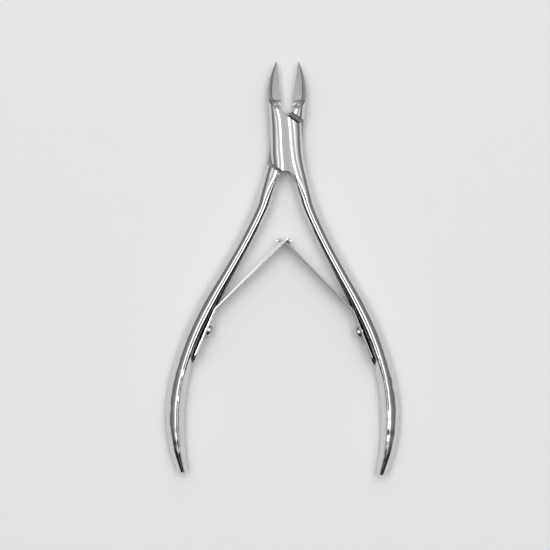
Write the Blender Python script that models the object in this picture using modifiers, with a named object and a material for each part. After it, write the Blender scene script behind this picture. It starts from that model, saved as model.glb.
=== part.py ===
"""Cuticle nipper: two forged halves on a lap joint, sprung apart by two hooked leaf springs.

The origin is on the pivot's axis, in the flat back of the joint. +Y runs to the jaw tips,
+Z from the flat back to the rounded front, and the nipper lies open at rest.
The front half carries the left jaw and the right handle, the back half the other two.
Lengths are in metres; MM turns millimetres into metres.
"""
import math
from collections import namedtuple

import bmesh
import bpy
from mathutils import Matrix, Vector

MM = 0.001

# Overall sizes
JAW_LENGTH = 20.5 * MM          # pivot to jaw tips
HANDLE_LENGTH = 82.2 * MM       # pivot to handle ends
HANDLE_REACH = 26.8 * MM        # handle's centre line at its widest, from the middle
HANDLE_WIDTH = 4.4 * MM         # across a handle at its palm swell
THICKNESS = 5.5 * MM            # joint, front to back
JOINT_WIDTH = 8.0 * MM          # across the lap at the pivot

# Jaws
EDGE_ANGLE = math.radians(7.4)  # cutting edge from the middle, on a line through the pivot
HEEL_Y = 11.8 * MM              # heel of the cutting edge, above the pivot
EDGE_LAND = 0.05 * MM           # half thickness left on the cutting edge
THROAT_RADIUS = 1.6 * MM
MOUTH_STEP = 0.03 * MM          # step left between the edge's heel and the throat's mouth
THROAT_Y = 9.0 * MM             # centre of the round end of the throat between the jaws
CROTCH_RADIUS = 1.7 * MM
CROTCH_Y = -8.6 * MM            # centre of the round crotch between the handles
SCOOP_RADIUS = 2.3 * MM         # hollow ground behind each blade
SCOOP_OFFSET = 5.5 * MM         # hollow's near edge from the pivot
SCOOP_LIFT = 0.15 * MM          # hollow's centre clear of the face
RAMP_RADIUS = 5.0 * MM          # shallow hollow that leads from the joint down to the blade
RAMP_RUN = 2.25 * MM            # its reach past the scoop's near edge
RAMP_FOOT = 0.15 * MM           # half thickness left where it ends
RAMP_TOP = 10.4 * MM            # it stops level with the blade face, above the pivot
BLADE_ARC = math.radians(52)    # arc of the blade's outer band, so that its ridge shows

# Sections
INNER_ROUNDING = 0.36           # a handle's rounding on its inner side, as a share of its width
OUTER_ROUNDING = 0.58           # and on its outer side
BACK_EDGE = 0.35 * MM           # rounding along the flat back
SIDE_WALL = 0.4 * MM            # half height of the joint's straight side
FLANK_ARC = math.radians(66)    # arc of the joint's flanks, short of level, so ridges show
ROOT_Y = 8.06 * MM              # start of the handle, below the pivot
ROOT_BLEND = 6.0 * MM           # length over which the joint's section turns into the handle's
ROOT_INNER = 0.5 * MM           # rounding of the handle's inner side where it starts
ROOT_OUTER = 2.9 * MM           # and of its outer side
END_ROUND = 0.7 * MM            # rounding of the handle's blunt end

# Lap joint
SHOULDER_SLOPE = math.radians(34.2)
SHOULDER = 6.2 * MM             # lap's shoulder from the pivot
WALL = 7.1 * MM                 # facing wall of the other half from the pivot
LAP_GAP = 0.12 * MM             # between the two laps

# Rivet
RIVET_HEAD = 5.8 * MM           # diameter
RIVET_HEAD_DEPTH = 1.2 * MM
RIVET_SHANK = 3.4 * MM          # diameter
RIVET_DEPTH = 4.3 * MM          # from the back face to the end of the shank
FIT = 0.1 * MM                  # clearance of the rivet, screws and leaf feet

# Leaf springs
LEAF_THICKNESS = 0.45 * MM
LEAF_WIDTH = 4.4 * MM
LINK_Y = -24.0 * MM             # where the leaves hook together
LEFT_TIP_X = 0.45 * MM          # left leaf's tip, past the middle
LEFT_TIP_RISE = 0.35 * MM       # above the link
RIGHT_TIP_X = 0.55 * MM         # right leaf's tip, short of the middle
RIGHT_TIP_DROP = 0.95 * MM      # below the link
FOOT_START = 41.4 * MM          # bend of the leaf, below the pivot
FOOT_LENGTH = 14.3 * MM
FLAT_DEPTH = 2.0 * MM           # reach of the milled flat's cutter past the handle's side
FLAT_OVER = 1.2 * MM            # flat beyond the bend
FLAT_UNDER = 0.6 * MM           # and beyond the foot's end
BEND_RADIUS = 1.2 * MM
SLOT_START = 0.22 * MM          # slot in the left leaf, from its tip
SLOT_LENGTH = 1.5 * MM
SLOT_WIDTH = 1.5 * MM
TONGUE_WIDTH = 1.0 * MM
TONGUE_LENGTH = 0.9 * MM
BAR_LENGTH = 4.0 * MM           # cross bar of the hook
BAR_HEIGHT = 0.75 * MM
BAR_WAIST = 0.36 * MM
BAR_THICKNESS = 0.6 * MM
BAR_SHIFT = 0.2 * MM            # bar's middle, left of the nipper's
BAR_DROP = 0.25 * MM            # below the link
TONGUE_SHIFT = 0.7 * MM         # where the tongue meets the bar, right of its middle
TONGUE_DEPTH = 0.495 * MM

# Spring screws
SCREW_DROP = 46.5 * MM          # screw below the pivot
SCREW_HEAD = 2.9 * MM           # diameter
SCREW_DOME = 1.25 * MM          # head height
SCREW_SHANK = 1.4 * MM          # diameter
SCREW_DEPTH = 2.2 * MM          # shank below the head

MIDDLE = THICKNESS / 2
BAR_X = -BAR_SHIFT
BAR_Y = LINK_Y - BAR_DROP
TIPS = {-1: (LEFT_TIP_X, LINK_Y + LEFT_TIP_RISE), 1: (RIGHT_TIP_X, LINK_Y - RIGHT_TIP_DROP)}
QUARTER_STEPS = 4
ROUND_STEPS = 40

Station = namedtuple(
    "Station", "y left right left_h right_h front_l front_r back_l back_r wall crown"
)

# Blade, tip to root, for the left jaw in millimetres: y as a share of the jaw's length, outer
# side, thickness at its rim as a share of the joint's, and the width of its rounded outer band
BLADE = (
    (1.000, 2.70, 0.044, 0.02),
    (0.970, 3.02, 0.127, 0.22),
    (0.902, 3.60, 0.309, 0.48),
    (0.780, 4.35, 0.545, 0.80),
    (0.659, 4.70, 0.727, 1.00),
    (0.537, 4.66, 0.855, 1.10),
    (0.450, 4.40, 0.836, 1.30),
    (0.350, 3.80, 0.727, 1.40),
)

# Joint block in millimetres, jaw end to handle end: y, jaw side, other side, and the widths
# of the rounding on the front, drawn for a joint BLOCK_WIDTH across
BLOCK_WIDTH = 8.0
BLOCK = (
    (11.0, 4.64, 3.30, 1.30, 3.0),
    (9.5, 4.58, 3.35, 1.70, 3.1),
    (6.5, 4.32, 3.55, 2.30, 3.3),
    (3.5, 4.07, 3.80, 2.40, 3.2),
    (0.0, 3.95, 4.00, 2.50, 3.1),
    (-2.75, 3.86, 4.25, 2.60, 3.0),
    (-5.1, 3.62, 4.67, 2.60, 3.0),
    (-7.5, 3.42, 5.27, 2.40, 2.9),
)

# Handle: share of the way from its start to its end, centre line as a share of its reach,
# width as a share of the palm width, depth as a share of the joint's thickness
HANDLE = (
    (0.0000, 0.131, 0.864, 1.000),
    (0.0631, 0.187, 0.900, 0.982),
    (0.1138, 0.233, 0.945, 0.964),
    (0.2150, 0.366, 0.955, 0.945),
    (0.3161, 0.519, 1.000, 0.945),
    (0.4173, 0.678, 1.050, 0.945),
    (0.5185, 0.8145, 1.034, 0.945),
    (0.6197, 0.916, 1.005, 0.945),
    (0.7208, 0.981, 1.008, 0.927),
    (0.8219, 1.0, 0.995, 0.891),
    (0.9232, 0.973, 0.810, 0.782),
    (0.9770, 0.937, 0.650, 0.673),
    (1.0000, 0.92, 0.560, 0.618),
)


def clear_scene():
    """Removes every object, so that the script can be run again."""
    for old in list(bpy.data.objects):
        bpy.data.objects.remove(old, do_unlink=True)


def collection(name):
    """Returns a new collection linked to the scene."""
    made = bpy.data.collections.new(name)
    bpy.context.scene.collection.children.link(made)
    return made


def material(name, colour, roughness, metallic=1.0):
    """Returns a Principled material."""
    made = bpy.data.materials.new(name)
    made.use_nodes = True
    shader = made.node_tree.nodes["Principled BSDF"]
    shader.inputs["Base Color"].default_value = (*colour, 1.0)
    shader.inputs["Roughness"].default_value = roughness
    shader.inputs["Metallic"].default_value = metallic
    return made


def add_object(name, bm, group, finish=None):
    """Turns a bmesh into an object of a collection, smooth on its round faces."""
    mesh = bpy.data.meshes.new(name)
    bmesh.ops.recalc_face_normals(bm, faces=bm.faces)
    bm.to_mesh(mesh)
    bm.free()
    made = bpy.data.objects.new(name, mesh)
    group.objects.link(made)
    if finish:
        mesh.materials.append(finish)
        mesh.shade_smooth()
        mesh.set_sharp_from_angle(angle=math.radians(35))
    return made


def add_cutter(name, bm):
    """Adds a hidden cutter."""
    made = add_object(name, bm, CUTTERS)
    made.hide_render = True
    made.display_type = "WIRE"
    return made


def box_cutter(name, low, high, matrix=Matrix()):
    """A box between two corners, moved by a matrix."""
    bm = bmesh.new()
    bmesh.ops.create_cube(bm, size=1.0)
    low, high = Vector(low), Vector(high)
    bmesh.ops.scale(bm, vec=high - low, verts=bm.verts)
    bmesh.ops.translate(bm, vec=(low + high) / 2, verts=bm.verts)
    bmesh.ops.transform(bm, matrix=matrix, verts=bm.verts)
    return add_cutter(name, bm)


def cylinder_cutter(name, radius, low, high, matrix):
    """A cylinder along a matrix's local Z, from low to high."""
    bm = bmesh.new()
    bmesh.ops.create_cone(
        bm, cap_ends=True, segments=ROUND_STEPS, radius1=radius, radius2=radius, depth=high - low
    )
    bmesh.ops.translate(bm, vec=(0, 0, (low + high) / 2), verts=bm.verts)
    bmesh.ops.transform(bm, matrix=matrix, verts=bm.verts)
    return add_cutter(name, bm)


def combine(body, other, operation="DIFFERENCE"):
    """Adds a Boolean modifier."""
    step = body.modifiers.new(other.name, "BOOLEAN")
    step.object = other
    step.operation = operation
    step.solver = "EXACT"


def smooth_rows(rows, count):
    """Rows of numbers run through a smooth curve, count steps to each pair."""
    made = []
    last = len(rows) - 1
    for i in range(last):
        before, start, end, after = rows[max(i - 1, 0)], rows[i], rows[i + 1], rows[min(i + 2, last)]
        span = end[0] - start[0]
        for step in range(count):
            t = step / count
            row = [start[0] + span * t]
            for a, b, c, d in list(zip(before, start, end, after))[1:]:
                slope_in = (c - a) / (end[0] - before[0]) * span
                slope_out = (d - b) / (after[0] - start[0]) * span
                row.append(
                    (2 * t**3 - 3 * t**2 + 1) * b + (t**3 - 2 * t**2 + t) * slope_in
                    + (3 * t**2 - 2 * t**3) * c + (t**3 - t**2) * slope_out
                )
            made.append(tuple(row))
    made.append(tuple(rows[last]))
    return made


def ring(station):
    """Closed section of a half at one station: four rounded corners and the lines between."""
    s = station

    def corner(side, turn, height, width, sign):
        """An elliptical flank from the side wall up to the face, with a ridge where the arc
        stops short of level."""
        points = []
        most = s.crown if sign > 0 else math.pi / 2
        for step in range(QUARTER_STEPS + 1):
            angle = most * step / QUARTER_STEPS
            x = side + turn * width * (1 - math.cos(angle)) / (1 - math.cos(most))
            z = s.wall + (height - s.wall) * math.sin(angle) / math.sin(most)
            points.append(Vector((x, s.y, MIDDLE + sign * z)))
        return points

    front = corner(s.left, 1, s.left_h, s.front_l, 1)
    front += corner(s.right, -1, s.right_h, s.front_r, 1)[::-1]
    back = corner(s.left, 1, s.left_h, s.back_l, -1)
    back += corner(s.right, -1, s.right_h, s.back_r, -1)[::-1]
    return front + back[::-1]


def loft(name, stations, mirrored, group, finish=None):
    """A closed body through the sections, mirrored across X for the back half."""
    bm = bmesh.new()
    sign = -1 if mirrored else 1
    rings = []
    for station in stations:
        rings.append([bm.verts.new((sign * p.x, p.y, p.z)) for p in ring(station)])
    count = len(rings[0])
    for one, two in zip(rings, rings[1:]):
        for i in range(count):
            j = (i + 1) % count
            bm.faces.new((one[i], one[j], two[j], two[i]))
    bm.faces.new(rings[0])
    bm.faces.new(rings[-1][::-1])
    return add_object(name, bm, group, finish)


def mix(a, b, t):
    """A value between two others."""
    return a + (b - a) * t


def edge_x(y):
    """Cutting edge from the middle."""
    return y * math.tan(EDGE_ANGLE)


def blade_stations():
    """The blade's wedge, from the tip down into the joint block."""
    stations = []
    for share, outer, height, band in smooth_rows(BLADE, 2):
        y = share * JAW_LENGTH
        inner = -max(edge_x(y), edge_x(HEEL_Y))
        land = EDGE_LAND / 3
        rim = height * MIDDLE
        stations.append(Station(
            y, -outer * MM, inner, rim, EDGE_LAND, band * MM, land, band * MM, land,
            EDGE_LAND / 2, BLADE_ARC,
        ))
    return stations


def handle_rows(steps):
    """Handle's stations as y, centre, width and half depth, in metres."""
    made = []
    for share, reach, width, depth in smooth_rows(HANDLE, steps):
        y = -mix(ROOT_Y, HANDLE_LENGTH, share)
        made.append((y, reach * HANDLE_REACH, width * HANDLE_WIDTH, depth * MIDDLE))
    return made


def inner_side(y):
    """Inner side of a handle at a height, from the middle."""
    rows = handle_rows(8)
    for (y1, c1, w1, _), (y2, c2, w2, _) in zip(rows, rows[1:]):
        if y2 <= y <= y1:
            t = (y1 - y) / (y1 - y2)
            return (c1 + (c2 - c1) * t) - (w1 + (w2 - w1) * t) / 2
    raise ValueError("no handle at this height")


def body_stations():
    """The joint block and the handle in one run, flat-backed at the joint."""
    stations = []
    depth = THICKNESS / 2
    spread = JOINT_WIDTH / (BLOCK_WIDTH * MM)
    for y, jaw_side, far_side, front_l, front_r in smooth_rows(BLOCK, 2):
        stations.append(Station(
            y * MM, -jaw_side * spread * MM, far_side * spread * MM, depth, depth,
            front_l * MM, front_r * MM, BACK_EDGE, BACK_EDGE, SIDE_WALL, FLANK_ARC,
        ))
    rows = handle_rows(3)
    for y, centre, width, half in rows[:-1]:
        below = (CROTCH_Y - y) / ROOT_BLEND
        blend = min(1.0, max(0.0, below)) ** 0.8
        inner, outer = INNER_ROUNDING * width, OUTER_ROUNDING * width
        under = min(1.0, max(0.0, below / 2))
        stations.append(Station(
            y, centre - width / 2, centre + width / 2, half, half,
            mix(ROOT_INNER, inner, blend), mix(ROOT_OUTER, outer, blend),
            mix(BACK_EDGE, inner, under), mix(BACK_EDGE, outer, under),
            mix(SIDE_WALL, 0.0, blend), mix(FLANK_ARC, math.pi / 2, blend),
        ))
    y, centre, width, half = rows[-1]
    fillet = min(END_ROUND, width / 3)
    inner_end, outer_end = 2 * INNER_ROUNDING, 2 * OUTER_ROUNDING
    for step in range(4):
        angle = math.pi / 2 * step / 3
        inset = fillet * (1 - math.cos(angle))
        side = width / 2 - inset
        deep = half - inset
        stations.append(Station(
            y + fillet * (1 - math.sin(angle)), centre - side, centre + side, deep, deep,
            inner_end * side, outer_end * side, inner_end * side, outer_end * side, 0.0, math.pi / 2,
        ))
    return stations


def slope_matrix(mirrored):
    """Turns local X along the shoulder and local Y along its normal."""
    angle = SHOULDER_SLOPE if mirrored else -SHOULDER_SLOPE
    return Matrix.Rotation(angle, 4, "Z")


def foot_frame(side):
    """Frame of a spring's foot: origin at the screw on the handle's flat, local X along the
    screw into the handle, local Y up the foot, local Z towards the front. The flat is milled
    deep enough for the whole foot to lie on it."""
    top = Vector((inner_side(-FOOT_START), -FOOT_START, 0))
    low_y = -FOOT_START - 0.9 * FOOT_LENGTH
    low = Vector((inner_side(low_y), low_y, 0))
    along = (top - low).normalized()
    outward = Vector((-along.y, along.x, 0))
    if outward.x < 0:
        outward = -outward
    depths = []
    for y in (-SCREW_DROP, -FOOT_START - FOOT_LENGTH / 2, -FOOT_START - FOOT_LENGTH / 4):
        side_point = Vector((inner_side(y), y, 0))
        depths.append((side_point - top).dot(outward))
    drop = (SCREW_DROP + top.y + max(depths) * outward.y) / along.y
    origin = top + max(depths) * outward - drop * along
    origin.z = MIDDLE
    frame = Matrix((
        (side * outward.x, side * along.x, 0, side * origin.x),
        (outward.y, along.y, 0, origin.y),
        (0, 0, 1, origin.z),
        (0, 0, 0, 1),
    ))
    return frame


def ramp_cutter(name, own, face, far):
    """A cylinder's lower side, cut off level at the foot of the blade's face."""
    fall = MIDDLE - RAMP_FOOT
    chord = math.hypot(RAMP_RUN, fall)
    rise = math.sqrt(RAMP_RADIUS**2 - chord**2 / 4)
    across = SCOOP_OFFSET + RAMP_RUN / 2 + rise * fall / chord
    up = MIDDLE - fall / 2 + rise * RAMP_RUN / chord
    bm = bmesh.new()
    bmesh.ops.create_cone(
        bm, cap_ends=True, segments=2 * ROUND_STEPS, radius1=RAMP_RADIUS, radius2=RAMP_RADIUS,
        depth=2 * far,
    )
    centre = own @ Vector((0, across, MIDDLE + face * up))
    place = Matrix.Translation(centre) @ own @ Matrix.Rotation(math.pi / 2, 4, "Y")
    bmesh.ops.transform(bm, matrix=place, verts=bm.verts)
    for point, outward in (((0, RAMP_TOP, 0), (0, 1, 0)), ((0, 0, MIDDLE), (0, 0, -face))):
        geometry = list(bm.verts) + list(bm.edges) + list(bm.faces)
        cut = bmesh.ops.bisect_plane(
            bm, geom=geometry, plane_co=point, plane_no=outward, clear_outer=True
        )
        rim = [e for e in cut["geom_cut"] if isinstance(e, bmesh.types.BMEdge)]
        bmesh.ops.holes_fill(bm, edges=rim)
    return add_cutter(name, bm)


def make_half(name, mirrored, finish):
    """One forged half; mirrored gives the back half."""
    body = loft(name, body_stations(), mirrored, PARTS, finish)
    blade = loft(name + "_blade", blade_stations(), mirrored, CUTTERS)
    blade.hide_render = True
    blade.display_type = "WIRE"

    own = slope_matrix(mirrored)
    other = slope_matrix(not mirrored)
    sign = -1 if mirrored else 1
    far = 2.5 * JOINT_WIDTH
    tall = 2 * THICKNESS
    throat_t = sign * (own.inverted() @ Vector((0, THROAT_Y, 0))).x
    crotch_t = sign * (own.inverted() @ Vector((0, CROTCH_Y, 0))).x

    for face in (1, -1):
        turn = own @ Matrix.Rotation(math.pi / 2, 4, "Y")
        centre = Vector((0, SCOOP_OFFSET + SCOOP_RADIUS, MIDDLE + face * (MIDDLE + SCOOP_LIFT)))
        place = Matrix.Translation(own @ centre) @ turn
        scoop = cylinder_cutter(f"{name}_scoop_{face}", SCOOP_RADIUS, -far, far, place)
        combine(body, scoop)
    top = box_cutter(
        name + "_top", (-far, SCOOP_OFFSET + SCOOP_RADIUS, -tall), (far, far, tall), own
    )
    combine(body, top)
    combine(body, blade, "UNION")
    for face in (1, -1):
        combine(body, ramp_cutter(f"{name}_ramp_{face}", own, face, far))

    span = sorted((sign * throat_t, sign * far))
    shoulder = box_cutter(
        name + "_shoulder", (span[0], SHOULDER, -tall), (span[1], far / 2, tall), own
    )
    span = sorted((sign * crotch_t, -sign * far))
    heel = box_cutter(name + "_heel", (span[0], -far / 2, -tall), (span[1], -SHOULDER, tall), own)
    throat = cylinder_cutter(
        name + "_throat", THROAT_RADIUS, -tall, tall, Matrix.Translation((0, THROAT_Y, 0))
    )
    crotch = cylinder_cutter(
        name + "_crotch", CROTCH_RADIUS, -tall, tall, Matrix.Translation((0, CROTCH_Y, 0))
    )
    mouth_half = edge_x(HEEL_Y) - MOUTH_STEP
    mouth = box_cutter(
        name + "_mouth", (-mouth_half, THROAT_Y, -tall),
        (mouth_half, HEEL_Y + MM, tall),
    )
    for cutter in (shoulder, heel, throat, mouth, crotch):
        combine(body, cutter)

    if mirrored:
        low, high = MIDDLE - LAP_GAP / 2, tall
    else:
        low, high = -tall, MIDDLE + LAP_GAP / 2
    combine(body, box_cutter(name + "_lap", (-far, -WALL, low), (far, WALL, high), other))
    return body


def bore_rivet(front, back):
    """The rivet's blind bore in the front half, and its stepped hole in the back half."""
    shank = RIVET_SHANK / 2 + FIT
    blind = cylinder_cutter("blind_bore", shank, -MIDDLE, RIVET_DEPTH + FIT, Matrix())
    combine(front, blind)
    combine(back, cylinder_cutter("through_bore", shank, -MIDDLE, 2 * THICKNESS, Matrix()))
    head = RIVET_HEAD / 2 + FIT
    combine(back, cylinder_cutter("head_seat", head, -MIDDLE, RIVET_HEAD_DEPTH + FIT, Matrix()))


def turned(name, profile, group, finish):
    """A turned piece from a profile of (radius, height) from top to bottom, about local Z."""
    mesh = bpy.data.meshes.new(name)
    edges = [(i, i + 1) for i in range(len(profile) - 1)]
    mesh.from_pydata([(r, 0, z) for r, z in profile], edges, [])
    mesh.materials.append(finish)
    made = bpy.data.objects.new(name, mesh)
    group.objects.link(made)
    screw = made.modifiers.new("turn", "SCREW")
    screw.axis = "Z"
    screw.steps = ROUND_STEPS
    screw.render_steps = ROUND_STEPS
    screw.use_merge_vertices = True
    screw.merge_threshold = 0.00001
    screw.use_smooth_shade = True
    return made


def make_rivet(finish):
    """Flush-headed rivet."""
    head, shank = RIVET_HEAD / 2, RIVET_SHANK / 2
    profile = (
        (0, RIVET_DEPTH), (shank, RIVET_DEPTH), (shank, RIVET_HEAD_DEPTH),
        (head, RIVET_HEAD_DEPTH), (head, 0), (0, 0),
    )
    return turned("pivot_rivet", profile, PARTS, finish)


def make_screw(name, side, finish):
    """Domed screw, its head on the leaf and its shank in the handle."""
    seat = LEAF_THICKNESS + 2 * FIT
    radius = SCREW_HEAD / 2
    rim = 0.35 * SCREW_DOME
    profile = [(0, seat + SCREW_DOME)]
    for step in range(1, 7):
        angle = math.pi / 2 * step / 6
        dome = rim + (SCREW_DOME - rim) * math.cos(angle)
        profile.append((radius * math.sin(angle), seat + dome))
    profile.append((radius, seat))
    profile.append((SCREW_SHANK / 2, seat))
    profile.append((SCREW_SHANK / 2, seat - SCREW_DEPTH))
    profile.append((0, seat - SCREW_DEPTH))
    screw = turned(name, profile, PARTS, finish)
    screw.matrix_world = foot_frame(side) @ Matrix.Rotation(-math.pi / 2, 4, "Y")
    return screw


def leaf_path(side):
    """Middle of a leaf from its tip to the end of its foot, as points in the plane."""
    frame = foot_frame(side)
    inset = -(FIT + LEAF_THICKNESS / 2)
    up = SCREW_DROP - FOOT_START
    cosine = frame[1][1]
    bend = frame @ Vector((inset, up / cosine, 0))
    low = frame @ Vector((inset, up / cosine - FOOT_LENGTH, 0))
    tip = Vector((*TIPS[side], MIDDLE))
    return bend, low, tip


def leaf_points(side):
    """Leaf's middle line with its rounded bend, tip first, and its running length."""
    bend, low, tip = leaf_path(side)
    to_tip = (tip - bend).normalized()
    to_low = (low - bend).normalized()
    half = math.acos(max(-1, min(1, -to_tip.dot(to_low)))) / 2
    back = BEND_RADIUS * math.tan(half)
    start, end = bend + to_tip * back, bend + to_low * back
    points = [tip]
    for step in range(1, 9):
        points.append(tip.lerp(start, step / 9))
    for step in range(5):
        t = step / 4
        points.append((1 - t) ** 2 * start + 2 * t * (1 - t) * bend + t * t * end)
    for step in range(1, 6):
        points.append(end.lerp(low, step / 6))
    radius = LEAF_WIDTH / 2
    turn = low + (end - low).normalized() * radius
    points = [p for p in points if (p - low).length > radius * 1.05]
    for step in range(7):
        angle = math.pi / 2 * step / 6
        points.append(turn + (low - turn) * math.sin(angle) * 0.995)
    return points, turn


def make_leaf(name, side, finish):
    """Leaf spring: a bent strip with a rounded foot, from an open surface given thickness."""
    points, turn = leaf_points(side)
    radius = LEAF_WIDTH / 2
    bm = bmesh.new()
    rows = []
    low = points[-1]
    for point in points:
        half = radius
        past = (point - turn).length
        if (low - point).length < (low - turn).length:
            half = math.sqrt(max(radius**2 - past**2, (0.1 * radius) ** 2))
        rows.append([bm.verts.new(point + Vector((0, 0, half * z))) for z in (-1, 0, 1)])
    for one, two in zip(rows, rows[1:]):
        for i in (0, 1):
            bm.faces.new((one[i], one[i + 1], two[i + 1], two[i]))
    leaf = add_object(name, bm, PARTS, finish)
    shell = leaf.modifiers.new("gauge", "SOLIDIFY")
    shell.thickness = LEAF_THICKNESS
    shell.offset = 0.0
    shell.use_even_offset = True
    hole = cylinder_cutter(
        name + "_hole", SCREW_SHANK / 2 + FIT, -SCREW_DEPTH, SCREW_DEPTH,
        foot_frame(side) @ Matrix.Rotation(math.pi / 2, 4, "Y"),
    )
    combine(leaf, hole)
    return leaf


def leaf_frame(side):
    """Frame at a leaf's tip: local X down the leaf, local Z towards the front."""
    bend, _, tip = leaf_path(side)
    down = (bend - tip).normalized()
    across = Vector((0, 0, 1)).cross(down)
    frame = Matrix((
        (down.x, across.x, 0, tip.x),
        (down.y, across.y, 0, tip.y),
        (0, 0, 1, tip.z),
        (0, 0, 0, 1),
    ))
    return frame


def cut_slot(leaf):
    """The left leaf's slot, which the hook goes through."""
    half = SLOT_WIDTH / 2
    slot = box_cutter(
        "hook_slot", (SLOT_START, -2 * LEAF_THICKNESS, -half),
        (SLOT_START + SLOT_LENGTH, 2 * LEAF_THICKNESS, half), leaf_frame(-1),
    )
    combine(leaf, slot)


def extruded(name, outline, depth):
    """A flat outline given depth about the middle plane."""
    bm = bmesh.new()
    low = [bm.verts.new((x, y, MIDDLE - depth / 2)) for x, y in outline]
    high = [bm.verts.new((x, y, MIDDLE + depth / 2)) for x, y in outline]
    count = len(outline)
    bm.faces.new(low[::-1])
    bm.faces.new(high)
    for i in range(count):
        j = (i + 1) % count
        bm.faces.new((low[i], low[j], high[j], high[i]))
    return add_cutter(name, bm)


def bar_outline():
    """Bow-tie outline of the hook's cross bar, waisted where it passes through the slot."""
    steps = 18
    upper = []
    for step in range(steps + 1):
        u = -math.cos(math.pi * step / steps)
        bulge = min(1.0, (abs(u) / 0.62) ** 2)
        taper = math.sqrt(max(0.0, 1 - max(0.0, (abs(u) - 0.7) / 0.3) ** 2))
        half = (BAR_WAIST + (BAR_HEIGHT - BAR_WAIST) * bulge) / 2 * max(taper, 0.15)
        upper.append((BAR_X + u * BAR_LENGTH / 2, half))
    top = [(x, BAR_Y + h) for x, h in upper]
    low = [(x, BAR_Y - h) for x, h in upper]
    return low + top[::-1]


def add_hook(leaf):
    """The right leaf's tongue and cross bar."""
    bar = extruded("hook_bar", bar_outline(), BAR_THICKNESS)
    combine(leaf, bar, "UNION")
    frame = leaf_frame(1)
    root = frame @ Vector((TONGUE_LENGTH, 0, 0))
    half = TONGUE_DEPTH / 2
    head = Vector((BAR_X + TONGUE_SHIFT, BAR_Y, MIDDLE))
    along = (head - root).normalized()
    across = Vector((along.y, -along.x, 0)) * half
    outline = [(p.x, p.y) for p in (root - across, root + across, head + across, head - across)]
    combine(leaf, extruded("hook_tongue", outline, TONGUE_WIDTH), "UNION")


def seat_spring(half, side):
    """Milled flat on the handle under the leaf's foot, and the screw's hole."""
    frame = foot_frame(side)
    up = (SCREW_DROP - FOOT_START) / frame[1][1]
    low = min(up - FOOT_LENGTH, -SCREW_HEAD / 2) - FLAT_UNDER
    high = max(up, SCREW_HEAD / 2) + FLAT_OVER
    tall = THICKNESS
    flat = box_cutter(f"{half.name}_flat", (-FLAT_DEPTH, low, -tall), (0, high, tall), frame)
    combine(half, flat)
    depth = SCREW_DEPTH - LEAF_THICKNESS - FIT
    hole = cylinder_cutter(
        f"{half.name}_screw_hole", SCREW_SHANK / 2 + FIT, -MM, depth,
        frame @ Matrix.Rotation(math.pi / 2, 4, "Y"),
    )
    combine(half, hole)


clear_scene()
PARTS = collection("cuticle_nipper")
CUTTERS = collection("cutters")

polished = material("polished_steel", (0.72, 0.72, 0.73), 0.12)
satin = material("satin_steel", (0.45, 0.45, 0.46), 0.4)
spring_steel = material("spring_steel", (0.65, 0.65, 0.66), 0.2)

front_half = make_half("front_half", False, polished)
back_half = make_half("back_half", True, polished)
bore_rivet(front_half, back_half)
make_rivet(satin)
for label, edge, half_body in (("left", -1, back_half), ("right", 1, front_half)):
    seat_spring(half_body, edge)
    spring = make_leaf(label + "_spring", edge, spring_steel)
    if edge < 0:
        cut_slot(spring)
    else:
        add_hook(spring)
    make_screw(label + "_spring_screw", edge, polished)
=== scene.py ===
"""Cuticle nipper: the finished look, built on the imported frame.

Two forged halves cross at a lap joint on one rivet, and two leaf springs hooked into each
other hold the handles apart. The origin is on the pivot's axis in the flat back of the joint,
+Y runs to the jaw tips and +Z to the rounded front.
"""
import logging
import math
from dataclasses import dataclass
from enum import Enum, IntEnum
from typing import Callable

import bmesh
import bpy
from mathutils import Matrix, Vector, noise


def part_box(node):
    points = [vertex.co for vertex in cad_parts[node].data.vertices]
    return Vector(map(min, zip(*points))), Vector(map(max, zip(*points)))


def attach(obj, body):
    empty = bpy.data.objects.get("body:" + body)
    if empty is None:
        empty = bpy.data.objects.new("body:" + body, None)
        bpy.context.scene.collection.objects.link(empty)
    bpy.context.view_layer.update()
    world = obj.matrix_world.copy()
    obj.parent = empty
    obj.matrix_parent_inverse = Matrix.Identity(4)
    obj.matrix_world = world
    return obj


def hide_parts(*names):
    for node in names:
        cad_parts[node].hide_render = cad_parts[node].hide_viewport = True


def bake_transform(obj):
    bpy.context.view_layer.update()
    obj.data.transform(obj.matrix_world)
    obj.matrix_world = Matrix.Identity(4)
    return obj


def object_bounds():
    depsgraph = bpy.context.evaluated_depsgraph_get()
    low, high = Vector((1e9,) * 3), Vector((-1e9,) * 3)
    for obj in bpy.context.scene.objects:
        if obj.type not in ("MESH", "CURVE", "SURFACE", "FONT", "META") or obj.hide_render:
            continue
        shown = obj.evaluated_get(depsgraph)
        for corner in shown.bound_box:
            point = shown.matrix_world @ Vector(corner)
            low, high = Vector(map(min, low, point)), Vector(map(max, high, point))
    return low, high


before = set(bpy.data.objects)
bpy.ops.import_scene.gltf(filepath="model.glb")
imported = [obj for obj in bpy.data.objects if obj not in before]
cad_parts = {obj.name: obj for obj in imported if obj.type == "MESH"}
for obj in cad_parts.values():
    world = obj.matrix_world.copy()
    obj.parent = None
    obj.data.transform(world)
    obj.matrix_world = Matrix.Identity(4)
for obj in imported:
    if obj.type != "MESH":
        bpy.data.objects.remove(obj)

LOG = logging.getLogger("cuticle_nipper")
MM = 0.001
CAD_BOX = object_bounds()
CUT, JOIN = "DIFFERENCE", "UNION"
Tools = list[tuple[bpy.types.Object, str]]


class Half(Enum):
    """Which forging: the sign is the side its handle is on."""

    FRONT = 1
    BACK = -1


class Zone(Enum):
    """Stretch of a forging, which decides how its faces were finished."""

    BLADE = "blade"
    JOINT = "joint"
    ROOT = "root"
    HANDLE = "handle"


class Face(IntEnum):
    """How one face of a forging was finished, as its material's number."""

    BUFFED = 0
    SATIN = 1
    GROUND = 2
    STONED = 3
    LINISHED = 4


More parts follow.
